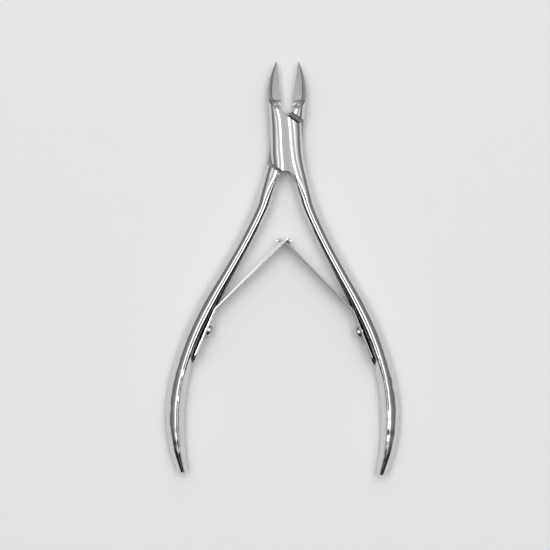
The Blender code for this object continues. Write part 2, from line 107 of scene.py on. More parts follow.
def srgb(value: str) -> tuple[float, float, float, float]:
    """Turns an sRGB hex colour to linear.

    Args:
        value: six hex digits after a hash.

    Returns:
        Linear red, green, blue and an alpha of one.
    """
    parts = [int(value[i:i + 2], 16) / 255 for i in (1, 3, 5)]
    linear = [p / 12.92 if p <= 0.04045 else ((p + 0.055) / 1.055) ** 2.4 for p in parts]
    return (*linear, 1.0)


def add_node(
    tree: bpy.types.NodeTree, kind: str, settings: dict | None = None, links: dict | None = None
) -> bpy.types.Node:
    """Adds a node with its settings and what feeds it.

    Args:
        tree: the node tree.
        kind: the node's type name.
        settings: attribute names, or input names and numbers, to their values.
        links: input names or numbers to (node, output) pairs.

    Returns:
        The new node.
    """
    made = tree.nodes.new(kind)
    for key, value in (settings or {}).items():
        if isinstance(key, str) and hasattr(made, key):
            setattr(made, key, value)
        else:
            made.inputs[key].default_value = value
    for key, (source, output) in (links or {}).items():
        tree.links.new(source.outputs[output], made.inputs[key])
    return made


@dataclass(frozen=True)
class Steel:
    """A stainless steel surface, named for how it was finished.

    The grain is the length of the marks along X, Y and Z in millimetres, and the cloud the
    size of the soft patches that hand finishing leaves.
    """

    name: str
    light: str
    dark: str
    roughness: float
    roughness_spread: float
    grain_mm: tuple[float, float, float]
    grain_depth_mm: float
    cloud_mm: float
    grain_share: float = 0.6

    def build(self) -> bpy.types.Material:
        """Makes the material: tone and gloss follow the grain and the soft patches.

        Returns:
            The material.
        """
        made = bpy.data.materials.new(self.name)
        made.use_nodes = True
        tree = made.node_tree
        shader = tree.nodes["Principled BSDF"]
        place = add_node(tree, "ShaderNodeTexCoord")
        grain_scale = add_node(
            tree, "ShaderNodeMapping",
            {"vector_type": "POINT", "Scale": [1 / (size * MM) for size in self.grain_mm]},
            {"Vector": (place, "Object")},
        )
        grain = add_node(
            tree, "ShaderNodeTexNoise", {"Scale": 1.0, "Detail": 3.0, "Roughness": 0.6},
            {"Vector": (grain_scale, "Vector")},
        )
        cloud = add_node(
            tree, "ShaderNodeTexNoise", {"Scale": 1 / (self.cloud_mm * MM), "Detail": 2.0},
            {"Vector": (place, "Object")},
        )
        both = add_node(
            tree, "ShaderNodeMath",
            {"operation": "MULTIPLY_ADD", 1: self.grain_share, 2: 0.0}, {0: (grain, "Fac")},
        )
        patch = add_node(
            tree, "ShaderNodeMath",
            {"operation": "MULTIPLY_ADD", 1: 1 - self.grain_share},
            {0: (cloud, "Fac"), 2: (both, "Value")},
        )
        tone = add_node(
            tree, "ShaderNodeMix", {"data_type": "RGBA", 6: srgb(self.dark), 7: srgb(self.light)},
            {0: (patch, "Value")},
        )
        rough = add_node(
            tree, "ShaderNodeMapRange",
            {
                "From Min": 0.3, "From Max": 0.7,
                "To Min": self.roughness + self.roughness_spread / 2,
                "To Max": self.roughness - self.roughness_spread / 2,
            },
            {"Value": (patch, "Value")},
        )
        shader.inputs["Metallic"].default_value = 1.0
        tree.links.new(tone.outputs[2], shader.inputs["Base Color"])
        tree.links.new(rough.outputs["Result"], shader.inputs["Roughness"])
        bump = add_node(
            tree, "ShaderNodeBump", {"Strength": 1.0, "Distance": self.grain_depth_mm * MM},
            {"Height": (grain, "Fac")},
        )
        tree.links.new(bump.outputs["Normal"], shader.inputs["Normal"])
        return made


# Stainless steel, buffed to a mirror: clean streaks of light with dark lines between them
POLISHED = Steel(
    "buffed_stainless", "#e2e2e2", "#d2d2d2",
    0.075, 0.03, (0.3, 2.0, 0.3), 0.0002, 6.0,
)
# Stainless steel, satin polished: the flat facet of the joint, an even soft grey
SATIN = Steel(
    "satin_stainless", "#909090", "#828282",
    0.32, 0.06, (0.25, 3.0, 0.25), 0.0006, 3.0,
)
# Stainless steel, ground on a fine wheel: matte blade faces with faint marks along the blade
BLADE_GROUND = Steel(
    "wheel_ground_stainless", "#f4f4f4", "#b2b2b2",
    0.46, 0.1, (0.16, 2.4, 0.3), 0.002, 1.6,
)
# Stainless steel, linished: the blade's outer band, darker and soft
BAND = Steel(
    "linished_stainless", "#a8a8a8", "#8c8c8c",
    0.3, 0.08, (0.2, 1.6, 0.3), 0.001, 1.6,
)
# Stainless steel, wheel-polished hollows behind the blades: soft and light
HOLLOW = Steel(
    "hollow_stainless", "#f2f2f2", "#dedede",
    0.33, 0.06, (0.5, 0.5, 0.5), 0.0008, 1.2,
)
# Stainless steel, ground flat on a stone: the dull grey back of the joint
STONE_GROUND = Steel(
    "stone_ground_stainless", "#a2a2a2", "#828282",
    0.5, 0.08, (2.2, 0.14, 0.3), 0.002, 1.5,
)
# Stainless steel, milled and left: the walls and slots of the lap, with painted shade: made dark
# because little light reaches them
MILLED_PAINTED_SHADE = Steel(
    "milled_stainless", "#7c7c7c", "#606060",
    0.42, 0.1, (0.5, 0.5, 0.12), 0.003, 1.2,
)
# Spring steel strip, rolled bright: fine marks along the strip
STRIP = Steel(
    "rolled_spring_steel", "#b4b4b4", "#9a9a9a",
    0.2, 0.05, (1.2, 1.2, 0.15), 0.0002, 2.0,
)
# Spring steel strip, its rolled rims: a painted highlight on the left leaf, painted shade on the
# right one
RIM_PAINTED_HIGHLIGHT = Steel(
    "spring_steel_rim_painted_highlight", "#f6f6f6", "#e6e6e6",
    0.12, 0.03, (1.2, 1.2, 0.15), 0.0002, 2.0,
)
# Rims of the right leaf: the same spring steel, darker as painted shade
RIM_PAINTED_SHADE = Steel(
    "spring_steel_rim_painted_shade", "#8a8a8a", "#747474",
    0.24, 0.05, (1.2, 1.2, 0.15), 0.0002, 2.0,
)
# Spring steel painted dark as shade: the hook's bar rims and tongue, and the leaves' rim faces that
# turn inward
PAINTED_SHADE_STEEL = Steel(
    "spring_steel_painted_shade", "#484848", "#303030",
    0.3, 0.08, (0.3, 0.3, 0.3), 0.0005, 1.0,
)
# Stainless steel, turned and tumbled: the screws' heads
TURNED = Steel(
    "turned_stainless", "#d8d8d8", "#c2c2c2",
    0.14, 0.05, (0.2, 0.2, 0.2), 0.0006, 1.0,
)


@dataclass(frozen=True)
class Sizes:
    """Driving sizes, in metres; the overall ones come from the frame.

    The heel is a blade's lower end, the throat the round opening between the jaws, the crotch
    the one between the handles, the shoulders and walls the slanted ends of the laps, and the
    scoop and the ramp the hollow that leads from the joint's face down to the blade.
    """

    jaw_length: float
    handle_length: float
    thickness: float
    reach: float = 26.8 * MM
    handle_width: float = 4.4 * MM
    edge_angle: float = math.radians(7.4)
    heel_y: float = 11.8 * MM
    mouth_step: float = 0.03 * MM
    root_y: float = 8.06 * MM  # the handle's first section, below the pivot
    edge_land: float = 0.05 * MM
    throat_radius: float = 1.6 * MM
    throat_y: float = 9.0 * MM
    crotch_radius: float = 1.7 * MM
    crotch_y: float = -8.6 * MM
    scoop_radius: float = 2.3 * MM
    scoop_offset: float = 5.5 * MM
    scoop_lift: float = 0.15 * MM
    ramp_radius: float = 14.0 * MM
    ramp_run: float = 2.25 * MM
    ramp_foot: float = 0.15 * MM
    ramp_top: float = 10.7 * MM
    shoulder_slope: float = math.radians(34.2)
    shoulder: float = 6.2 * MM
    wall: float = 7.1 * MM
    lap_gap: float = 0.12 * MM
    rivet_head: float = 5.8 * MM
    rivet_head_depth: float = 1.2 * MM
    rivet_shank: float = 3.4 * MM
    rivet_depth: float = 4.3 * MM
    fit: float = 0.1 * MM
    leaf_thickness: float = 0.45 * MM
    leaf_width: float = 4.4 * MM
    foot_start: float = 41.4 * MM  # bend of the leaf, below the pivot
    foot_length: float = 14.3 * MM
    flat_depth: float = 2.0 * MM  # reach of the milled flat's cutter past the handle's side
    flat_over: float = 1.2 * MM
    flat_under: float = 0.6 * MM
    screw_drop: float = 46.5 * MM
    screw_head: float = 2.9 * MM
    screw_dome: float = 1.25 * MM
    screw_shank: float = 1.4 * MM
    screw_depth: float = 2.2 * MM

    @property
    def middle(self) -> float:
        """Height of the plane that the two laps meet in."""
        return self.thickness / 2

    def edge_x(self, y: float) -> float:
        """Cutting edge from the middle."""
        return y * math.tan(self.edge_angle)


@dataclass(frozen=True)
class Station:
    """One section across a forging: its sides, half depths, flank widths and finish."""

    y: float
    left: float
    right: float
    left_half: float
    right_half: float
    front_left: float
    front_right: float
    back_left: float
    back_right: float
    wall: float
    crown: float
    zone: Zone
    left_relief: float = 0.0
    right_relief: float = 0.0
    left_fullness: float = 2.0
    right_fullness: float = 2.0


def mix(a: float, b: float, t: float) -> float:
    """A value between two others."""
    return a + (b - a) * t


def clamp(value: float) -> float:
    """A value kept between nought and one."""
    return min(1.0, max(0.0, value))


def smooth_rows(rows: tuple[tuple[float, ...], ...], count: int) -> list[tuple[float, ...]]:
    """Runs rows of numbers through a smooth curve.

    Args:
        rows: rows whose first number always rises or always falls.
        count: steps between two rows.

    Returns:
        The rows with the steps between them.
    """
    made = []
    last = len(rows) - 1
    for i in range(last):
        before, start, end = rows[max(i - 1, 0)], rows[i], rows[i + 1]
        after = rows[min(i + 2, last)]
        span = end[0] - start[0]
        for step in range(count):
            t = step / count
            row = [start[0] + span * t]
            for a, b, c, d in list(zip(before, start, end, after))[1:]:
                slope_in = (c - a) / (end[0] - before[0]) * span
                slope_out = (d - b) / (after[0] - start[0]) * span
                row.append(
                    (2 * t**3 - 3 * t**2 + 1) * b + (t**3 - 2 * t**2 + t) * slope_in
                    + (3 * t**2 - 2 * t**3) * c + (t**3 - t**2) * slope_out
                )
            made.append(tuple(row))
    made.append(tuple(rows[last]))
    return made


def keep_mesh(
    name: str, bm: bmesh.types.BMesh, finish: bpy.types.Material | None = None
) -> bpy.types.Object:
    """Turns a bmesh into an object of the scene.

    Args:
        name: the object's name.
        bm: the mesh, freed here.
        finish: its first material.

    Returns:
        The new object.
    """
    mesh = bpy.data.meshes.new(name)
    bmesh.ops.recalc_face_normals(bm, faces=bm.faces)
    bm.to_mesh(mesh)
    bm.free()
    if finish:
        mesh.materials.append(finish)
    made = bpy.data.objects.new(name, mesh)
    bpy.context.scene.collection.objects.link(made)
    return made


def box_tool(
    low: tuple[float, float, float], high: tuple[float, float, float], matrix: Matrix,
    finish: bpy.types.Material,
) -> bpy.types.Object:
    """A box cutter between two corners.

    Args:
        low: the lowest corner, before the matrix.
        high: the highest one.
        matrix: where the box goes.
        finish: what it leaves on the faces that it cuts.

    Returns:
        The cutter.
    """
    bm = bmesh.new()
    bmesh.ops.create_cube(bm, size=1.0)
    low, high = Vector(low), Vector(high)
    bmesh.ops.scale(bm, vec=high - low, verts=bm.verts)
    bmesh.ops.translate(bm, vec=(low + high) / 2, verts=bm.verts)
    bmesh.ops.transform(bm, matrix=matrix, verts=bm.verts)
    return keep_mesh("tool", bm, finish)


def round_tool(
    radius: float, low: float, high: float, matrix: Matrix, finish: bpy.types.Material,
    segments: int = 96,
) -> bpy.types.Object:
    """A cylindrical cutter along a matrix's local Z.

    Args:
        radius: the cylinder's radius.
        low: its lower end.
        high: its upper end.
        matrix: where its axis goes.
        finish: what it leaves on the faces that it cuts.
        segments: sides of the circle.

    Returns:
        The cutter.
    """
    bm = bmesh.new()
    bmesh.ops.create_cone(
        bm, cap_ends=True, segments=segments, radius1=radius, radius2=radius, depth=high - low
    )
    bmesh.ops.translate(bm, vec=(0, 0, (low + high) / 2), verts=bm.verts)
    bmesh.ops.transform(bm, matrix=matrix, verts=bm.verts)
    return keep_mesh("tool", bm, finish)


def carve(body: bpy.types.Object, tools: Tools) -> None:
    """Applies Boolean steps and removes the tools.

    Args:
        body: the object that is changed.
        tools: cutters, or pieces to join, each with its operation.
    """
    for tool, operation in tools:
        step = body.modifiers.new("carve", "BOOLEAN")
        step.object = tool
        step.operation = operation
        step.solver = "EXACT"
        step.material_mode = "TRANSFER"
    settle(body)
    for tool, _ in tools:
        mesh = tool.data
        bpy.data.objects.remove(tool, do_unlink=True)
        bpy.data.meshes.remove(mesh)


def settle(body: bpy.types.Object) -> None:
    """Turns an object's modifiers into its mesh.

    Args:
        body: the object.
    """
    graph = bpy.context.evaluated_depsgraph_get()
    graph.update()
    mesh = bpy.data.meshes.new_from_object(body.evaluated_get(graph))
    body.modifiers.clear()
    body.data = mesh


def shade(body: bpy.types.Object, degrees: float = 32.0) -> None:
    """Smooth shading with its sharp edges kept."""
    body.data.shade_smooth()
    body.data.set_sharp_from_angle(angle=math.radians(degrees))


@dataclass
class Forging:
    """One forged half: a jaw, its lap of the joint and the handle on the other side.

    Sections are drawn with the jaw on the left, and turned over for the half whose handle is
    on the left. A fullness of 2 is a round flank, and a lower one is flatter.
    """

    sizes: Sizes
    half: Half
    finishes: dict[str, bpy.types.Material]
    blade_steps: int = 8
    block_steps: int = 8
    handle_steps: int = 14
    end_steps: int = 8
    seat_steps: int = 8
    seat_low: float = 0.9  # where the seat's line leaves the handle, as a share of the foot
    ramp_sides: int = 320
    scoop_sides: int = 160
    hole_sides: int = 48
    throat_steps: int = 72
    past: float = 20.0 * MM  # reach of a cutter beyond the joint
    arc_steps: int = 14
    inner_rounding: float = 0.33
    outer_rounding: float = 0.55
    fullness: float = 1.45
    palm_inner: float = 1.3
    back_edge: float = 0.35 * MM
    side_wall: float = 0.4 * MM
    flank_arc: float = math.radians(80)
    blade_arc: float = math.radians(52)
    step: float = 0.25 * MM
    step_drop: float = 0.19 * MM
    bevels: tuple[float, float] = (0.55 * MM, 0.65 * MM)
    bevel_slope: float = math.radians(7)
    root_blend: float = 6.0 * MM
    root_inner: float = 0.5 * MM
    root_outer: float = 1.95 * MM
    root_softness: float = 0.8
    round_flank: float = 2.0
    blade_spare: float = 0.004  # of a section's flat face, left between its flank and its level line
    spare: float = 0.05
    end_fillet: float = 0.7 * MM
    palm_start: float = -44.0 * MM
    palm_full: float = -58.0 * MM
    wave_full: float = -56.0 * MM
    wave_end: float = -80.0 * MM
    wave_fade: float = 6.0 * MM
    wave_height: float = 0.08 * MM
    wave_size: tuple[float, float] = (1.4 * MM, 1.7 * MM)
    wave_offset: float = 7.0

    # Blade: y as a share of the jaw's length, outer side in millimetres, thickness at its rim
    # as a share of the joint's, width of its rounded outer band in millimetres
    blade = (
        (1.000, 2.70, 0.044, 0.02),
        (0.970, 3.02, 0.127, 0.22),
        (0.902, 3.60, 0.309, 0.48),
        (0.780, 4.35, 0.545, 0.80),
        (0.659, 4.70, 0.727, 1.00),
        (0.537, 4.66, 0.855, 1.10),
        (0.450, 4.40, 0.836, 1.30),
        (0.350, 3.80, 0.727, 1.40),
    )
    # Joint block in millimetres: y, jaw side, other side, widths of the two front flanks
    block = (
        (11.0, 4.64, 3.30, 0.75, 2.05),
        (9.5, 4.58, 3.35, 1.15, 2.15),
        (6.5, 4.32, 3.55, 1.75, 2.35),
        (3.5, 4.07, 3.80, 1.85, 2.25),
        (0.0, 3.95, 4.00, 1.95, 2.15),
        (-2.75, 3.86, 4.25, 2.05, 2.05),
        (-5.1, 3.62, 4.67, 2.05, 2.05),
        (-7.5, 3.42, 5.27, 1.85, 1.95),
    )
    # Handle: share of the way from its start to its end, centre line as a share of its
    # reach, width as a share of the palm width, depth as a share of the joint's thickness
    handle = (
        (0.0000, 0.131, 0.864, 1.000),
        (0.0631, 0.187, 0.900, 0.982),
        (0.1138, 0.233, 0.945, 0.964),
        (0.2150, 0.366, 0.955, 0.945),
        (0.3161, 0.519, 1.000, 0.945),
        (0.4173, 0.678, 1.050, 0.945),
        (0.5185, 0.8145, 1.034, 0.945),
        (0.6197, 0.916, 1.005, 0.945),
        (0.7208, 0.981, 1.008, 0.927),
        (0.8219, 1.0, 0.985, 0.891),
        (0.9232, 0.973, 0.810, 0.782),
        (0.9770, 0.937, 0.650, 0.673),
        (1.0000, 0.92, 0.560, 0.618),
    )

    @property
    def name(self) -> str:
        """Node that this forging stands for."""
        return "front_half" if self.half is Half.FRONT else "back_half"

    @property
    def body(self) -> str:
        """Body that it moves with."""
        return "front" if self.half is Half.FRONT else "back"

    def ring(self, s: Station) -> list[Vector]:
        """Closed section at one station: four rounded corners and the lines between them.

        On the joint's front a small step and a bevel lie between each flank and the facet.

        Args:
            s: the section's sizes.

        Returns:
            Its points, front left to front right and back along the underside.
        """
        spare = self.blade_spare if s.zone is Zone.BLADE else self.spare
        spare *= s.right - s.front_right - s.left - s.front_left

        def corner(
            side: float, turn: int, height: float, width: float, sign: int, bevel: float,
            relief: float, fullness: float,
        ) -> list[Vector]:
            """A flank from the side wall up to the face.

            Args:
                side: X of the wall.
                turn: way from the wall to the middle of the section.
                height: the face's height over the middle plane.
                width: the flank's width.
                sign: 1 for the front, -1 for the back.
                bevel: width of the bevel beside the flank.
                relief: share of the step and the bevel that is there.
                fullness: how round the flank is.

            Returns:
                Points from the wall inwards.
            """
            most = s.crown if sign > 0 else math.pi / 2
            fall = relief * bevel * math.tan(self.bevel_slope)
            top = height - fall - relief * self.step_drop
            power = 2 / fullness
            reach = 1 - max(0.0, math.cos(most)) ** power
            points = []
            for step in range(self.arc_steps + 1):
                angle = most * step / self.arc_steps
                x = side + turn * width * (1 - max(0.0, math.cos(angle)) ** power) / reach
                z = s.wall + (top - s.wall) * (math.sin(angle) / math.sin(most)) ** power
                points.append(Vector((x, s.y, self.sizes.middle + sign * z)))
            if sign > 0:
                across = mix(spare, self.step, relief)
                x = side + turn * (width + across)
                points.append(Vector((x, s.y, self.sizes.middle + height - fall)))
                x += turn * mix(spare, bevel, relief)
                points.append(Vector((x, s.y, self.sizes.middle + height)))
            return points

        left, right = self.bevels
        front = corner(
            s.left, 1, s.left_half, s.front_left, 1, left, s.left_relief, s.left_fullness
        )
        front += corner(
            s.right, -1, s.right_half, s.front_right, 1, right, s.right_relief, s.right_fullness
        )[::-1]
        plain = (-1, 0, 0, self.round_flank)
        back = corner(s.left, 1, s.left_half, s.back_left, *plain)
        back += corner(s.right, -1, s.right_half, s.back_right, *plain)[::-1]
        return front + back[::-1]

    def face_finish(self, zone: Zone, index: int) -> Face:
        """Finish of the face after a ring's point.

        Args:
            zone: stretch of the forging.
            index: the point's number in its ring.

        Returns:
            The finish.
        """
        corner = self.arc_steps + 3
        on_front = index == corner - 1
        near_front = corner - 3 <= index <= corner + 1
        first_back = 2 * corner
        on_back = index == first_back + self.arc_steps
        if zone is Zone.BLADE:
            return Face.GROUND if near_front or on_back else Face.LINISHED
        if zone is Zone.JOINT:
            if on_front:
                return Face.SATIN
            under = first_back <= index < first_back + 2 * self.arc_steps + 1
            return Face.STONED if under else Face.BUFFED
        return Face.STONED if zone is Zone.ROOT and on_back else Face.BUFFED

    def loft(self, stations: list[Station]) -> bpy.types.Object:
        """A closed body through sections.

        Args:
            stations: the sections, in order along Y.

        Returns:
            The body, with its finishes.
        """
        bm = bmesh.new()
        sign = self.half.value
        rings = [[bm.verts.new((sign * p.x, p.y, p.z)) for p in self.ring(s)] for s in stations]
        count = len(rings[0])
        for station, one, two in zip(stations, rings, rings[1:]):
            for i in range(count):
                j = (i + 1) % count
                face = bm.faces.new((one[i], one[j], two[j], two[i]))
                face.material_index = self.face_finish(station.zone, i)
        bm.faces.new(rings[0])
        bm.faces.new(rings[-1][::-1])
        made = keep_mesh(self.name + "_finished", bm)
        for key in ("polished", "satin", "blade", "stone", "band"):
            made.data.materials.append(self.finishes[key])
        return made

    def blade_stations(self) -> list[Station]:
        """The blade's wedge, from the tip down into the joint block.

        Returns:
            Its sections.
        """
        s = self.sizes
        land = s.edge_land / 3
        made = []
        for share, outer, height, band in smooth_rows(self.blade, self.blade_steps):
            y = share * s.jaw_length
            inner = -max(s.edge_x(y), s.edge_x(s.heel_y))
            made.append(Station(
                y, -outer * MM, inner, height * s.middle, s.edge_land, band * MM, land,
                band * MM, land, s.edge_land / 2, self.blade_arc, Zone.BLADE,
            ))
        return made

    def handle_rows(self, steps: int) -> list[tuple[float, float, float, float]]:
        """The handle's shape along its length.

        Args:
            steps: steps between two of its rows.

        Returns:
            Rows of y, centre, width and half depth, in metres.
        """
        s = self.sizes
        return [
            (
                -mix(s.root_y, s.handle_length, share), reach * s.reach, width * s.handle_width,
                depth * s.middle,
            )
            for share, reach, width, depth in smooth_rows(self.handle, steps)
        ]

    def body_stations(self) -> list[Station]:
        """The joint block and the handle in one run, flat-backed at the joint.

        Returns:
            The sections from the jaws to the handle's end.
        """
        s = self.sizes
        made = []
        for y, jaw_side, far_side, left, right in smooth_rows(self.block, self.block_steps):
            made.append(Station(
                y * MM, -jaw_side * MM, far_side * MM, s.middle, s.middle, left * MM, right * MM,
                self.back_edge, self.back_edge, self.side_wall, self.flank_arc, Zone.JOINT,
                1.0, 1.0,
            ))
        rows = self.handle_rows(self.handle_steps)
        made += [self.handle_station(*row) for row in rows[:-1]]
        y, centre, width, half = rows[-1]
        for step in range(self.end_steps + 1):
            angle = math.pi / 2 * step / self.end_steps
            inset = self.end_fillet * (1 - math.cos(angle))
            side, deep = width / 2 - inset, half - inset
            inner, outer = 2 * self.inner_rounding * side, 2 * self.outer_rounding * side
            made.append(Station(
                y + self.end_fillet * (1 - math.sin(angle)), centre - side, centre + side, deep,
                deep, inner, outer, inner, outer, 0.0, math.pi / 2, Zone.HANDLE, 0.0, 0.0,
                self.palm_inner, self.fullness,
            ))
        return made

    def handle_station(self, y: float, centre: float, width: float, half: float) -> Station:
        """One section of the handle, which leaves the joint's flanks below the crotch.

        Args:
            y: its place along Y.
            centre: X of its middle.
            width: its width.
            half: half its depth.

        Returns:
            The section.
        """
        below = (self.sizes.crotch_y - y) / self.root_blend
        blend = clamp(below) ** self.root_softness
        under = clamp(below / 2)
        palm = clamp((y - self.palm_start) / (self.palm_full - self.palm_start))
        inner, outer = self.inner_rounding * width, self.outer_rounding * width
        return Station(
            y, centre - width / 2, centre + width / 2, half, half,
            mix(self.root_inner, inner, blend), mix(self.root_outer, outer, blend),
            mix(self.back_edge, inner, under), mix(self.back_edge, outer, under),
            mix(self.side_wall, 0.0, blend), mix(self.flank_arc, math.pi / 2, blend),
            Zone.ROOT if below < 2 else Zone.HANDLE, 0.0, (1 - blend) ** 2,
            mix(self.round_flank, self.palm_inner, palm),
            mix(self.round_flank, self.fullness, blend),
        )

    def inner_side(self, y: float) -> float:
        """Inner side of a handle.

        Args:
            y: where along the handle.

        Returns:
            How far it is from the middle.
        """
        rows = self.handle_rows(self.seat_steps)
        for (y1, c1, w1, _), (y2, c2, w2, _) in zip(rows, rows[1:]):
            if y2 <= y <= y1:
                t = (y1 - y) / (y1 - y2)
                return mix(c1, c2, t) - mix(w1, w2, t) / 2
        raise ValueError("no handle at this height")

    def foot_frame(self) -> Matrix:
        """Frame of the spring's foot, at the screw.

        Returns:
            A matrix with local X into the handle and local Y up the foot.
        """
        s, side = self.sizes, self.half.value
        top = Vector((self.inner_side(-s.foot_start), -s.foot_start, 0))
        low_y = -s.foot_start - self.seat_low * s.foot_length
        low = Vector((self.inner_side(low_y), low_y, 0))
        along = (top - low).normalized()
        outward = Vector((-along.y, along.x, 0))
        if outward.x < 0:
            outward = -outward
        seats = (
            -s.screw_drop, -s.foot_start - s.foot_length / 2, -s.foot_start - s.foot_length / 4
        )
        depth = max((Vector((self.inner_side(y), y, 0)) - top).dot(outward) for y in seats)
        drop = (s.screw_drop + top.y + depth * outward.y) / along.y
        origin = top + depth * outward - drop * along
        origin.z = s.middle
        return Matrix((
            (side * outward.x, side * along.x, 0, side * origin.x),
            (outward.y, along.y, 0, origin.y),
            (0, 0, 1, origin.z),
            (0, 0, 0, 1),
        ))

    def ramp(self, own: Matrix, face: int, far: float) -> bpy.types.Object:
        """Cutter of the shallow hollow that leads down to the blade, level at its foot.

        Args:
            own: turn of this half's shoulders.
            face: 1 for the front, -1 for the back.
            far: half the cutter's length.

        Returns:
            The cutter.
        """
        s = self.sizes
        fall = s.middle - s.ramp_foot
        chord = math.hypot(s.ramp_run, fall)
        rise = math.sqrt(s.ramp_radius**2 - chord**2 / 4)
        across = s.scoop_offset + s.ramp_run / 2 + rise * fall / chord
        up = s.middle - fall / 2 + rise * s.ramp_run / chord
        centre = own @ Vector((0, across, s.middle + face * up))
        place = Matrix.Translation(centre) @ own @ Matrix.Rotation(math.pi / 2, 4, "Y")
        bm = bmesh.new()
        bmesh.ops.create_cone(
            bm, cap_ends=True, segments=self.ramp_sides, radius1=s.ramp_radius,
            radius2=s.ramp_radius, depth=2 * far,
        )
        bmesh.ops.transform(bm, matrix=place, verts=bm.verts)
        planes = (((0, s.ramp_top, 0), (0, 1, 0)), ((0, 0, s.middle), (0, 0, -face)))
        for point, outward in planes:
            cut = bmesh.ops.bisect_plane(
                bm, geom=[*bm.verts, *bm.edges, *bm.faces], plane_co=point, plane_no=outward,
                clear_outer=True,
            )
            rim = [e for e in cut["geom_cut"] if isinstance(e, bmesh.types.BMEdge)]
            bmesh.ops.holes_fill(bm, edges=rim)
        return keep_mesh("tool", bm, self.finishes["hollow"])

    def mouth(self) -> bpy.types.Object:
        """Cutter of the open throat between the jaws, round at its foot.

        Returns:
            The cutter.
        """
        s = self.sizes
        half, top, tall = s.edge_x(s.heel_y) - s.mouth_step, s.heel_y + MM, 2 * s.thickness
        radius, start = s.throat_radius, math.acos(half / s.throat_radius)
        outline = [(half, top)]
        for step in range(self.throat_steps + 1):
            angle = start - (math.pi + 2 * start) * step / self.throat_steps
            outline.append((radius * math.cos(angle), s.throat_y + radius * math.sin(angle)))
        outline.append((-half, top))
        bm = bmesh.new()
        floor = bm.faces.new([bm.verts.new((x, y, -tall)) for x, y in outline])
        raised = bmesh.ops.extrude_face_region(bm, geom=[floor])["geom"]
        corners = [part for part in raised if isinstance(part, bmesh.types.BMVert)]
        bmesh.ops.translate(bm, vec=(0, 0, 2 * tall), verts=corners)
        return keep_mesh("tool", bm, self.finishes["polished"])

    def tools(self) -> Tools:
        """Cutters of the joint and the blade that joins it, in order.

        Returns:
            Cutters and the blade, each with its operation.
        """
        s, sign = self.sizes, self.half.value
        # The shoulders and the lap's wall are cut with the milled finish and its painted shade
        polished, milled = self.finishes["polished"], self.finishes["milled"]
        own = Matrix.Rotation(-sign * s.shoulder_slope, 4, "Z")
        other = Matrix.Rotation(sign * s.shoulder_slope, 4, "Z")
        far, tall = self.past, 2 * s.thickness
        scoop_y = s.scoop_offset + s.scoop_radius
        cutters = []
        for face in (1, -1):
            centre = own @ Vector((0, scoop_y, s.middle + face * (s.middle + s.scoop_lift)))
            place = Matrix.Translation(centre) @ own @ Matrix.Rotation(math.pi / 2, 4, "Y")
            cutters.append(round_tool(
                s.scoop_radius, -far, far, place, self.finishes["hollow"], self.scoop_sides
            ))
        cutters.append(box_tool((-far, scoop_y, -tall), (far, far, tall), own, polished))
        steps = [(cutter, CUT) for cutter in cutters]
        steps.append((self.loft(self.blade_stations()), JOIN))
        cutters = [self.ramp(own, face, far) for face in (1, -1)]
        near, end = sorted(((own.inverted() @ Vector((0, s.throat_y, 0))).x, sign * far))
        cutters.append(box_tool((near, s.shoulder, -tall), (end, far / 2, tall), own, milled))
        near, end = sorted(((own.inverted() @ Vector((0, s.crotch_y, 0))).x, -sign * far))
        cutters.append(box_tool((near, -far / 2, -tall), (end, -s.shoulder, tall), own, milled))
        cutters.append(self.mouth())
        crotch = Matrix.Translation((0, s.crotch_y, 0))
        cutters.append(round_tool(s.crotch_radius, -tall, tall, crotch, polished))
        low, high = -tall, s.middle + s.lap_gap / 2
        if self.half is Half.BACK:
            low, high = s.middle - s.lap_gap / 2, tall
        cutters.append(box_tool((-far, -s.wall, low), (far, s.wall, high), other, milled))
        return steps + [(cutter, CUT) for cutter in cutters]

    def bores(self) -> Tools:
        """Cutters for the rivet, the spring's seat and its screw.

        Returns:
            The cutters, each with its operation.
        """
        # The rivet's and the screw's bores get the milled finish and its painted shade
        s, milled = self.sizes, self.finishes["milled"]
        shank = s.rivet_shank / 2 + s.fit
        top = s.rivet_depth + s.fit if self.half is Half.FRONT else 2 * s.thickness
        cutters = [round_tool(shank, -s.middle, top, Matrix(), milled)]
        if self.half is Half.BACK:
            head, depth = s.rivet_head / 2 + s.fit, s.rivet_head_depth + s.fit
            cutters.append(round_tool(head, -s.middle, depth, Matrix(), milled))
        place = self.foot_frame()
        up = (s.screw_drop - s.foot_start) / place[1][1]
        cutters.append(box_tool(
            (-s.flat_depth, up - s.foot_length - s.flat_under, -s.thickness),
            (0, up + s.flat_over, s.thickness), place, self.finishes["polished"],
        ))
        depth = s.screw_depth - s.leaf_thickness - s.fit
        across = place @ Matrix.Rotation(math.pi / 2, 4, "Y")
        cutters.append(
            round_tool(s.screw_shank / 2 + s.fit, -MM, depth, across, milled, self.hole_sides)
        )
        return [(cutter, CUT) for cutter in cutters]

    def hand_polish(self, made: bpy.types.Object) -> None:
        """Faint waves that hand buffing leaves along the palm swell.

        Args:
            made: the finished forging.
        """
        made.data.update()
        for vert in made.data.vertices:
            x, y, z = vert.co
            rise = clamp((self.palm_start - y) / (self.palm_start - self.wave_full))
            share = rise * clamp((y - self.wave_end) / self.wave_fade)
            if share <= 0:
                continue
            across, along = self.wave_size
            place = Vector((x / across, y / along, self.half.value * self.wave_offset))
            wave = noise.noise(place) * self.wave_height * share
            vert.co.z += wave if z > self.sizes.middle else -wave

    def build(self) -> bpy.types.Object:
        """Makes the finished forging and puts it on its body.

        Returns:
            The forging.
        """
        made = self.loft(self.body_stations())
        carve(made, self.tools())
        carve(made, self.bores())
        self.hand_polish(made)
        shade(made)
        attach(made, self.body)
        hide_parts(self.name)
        return made


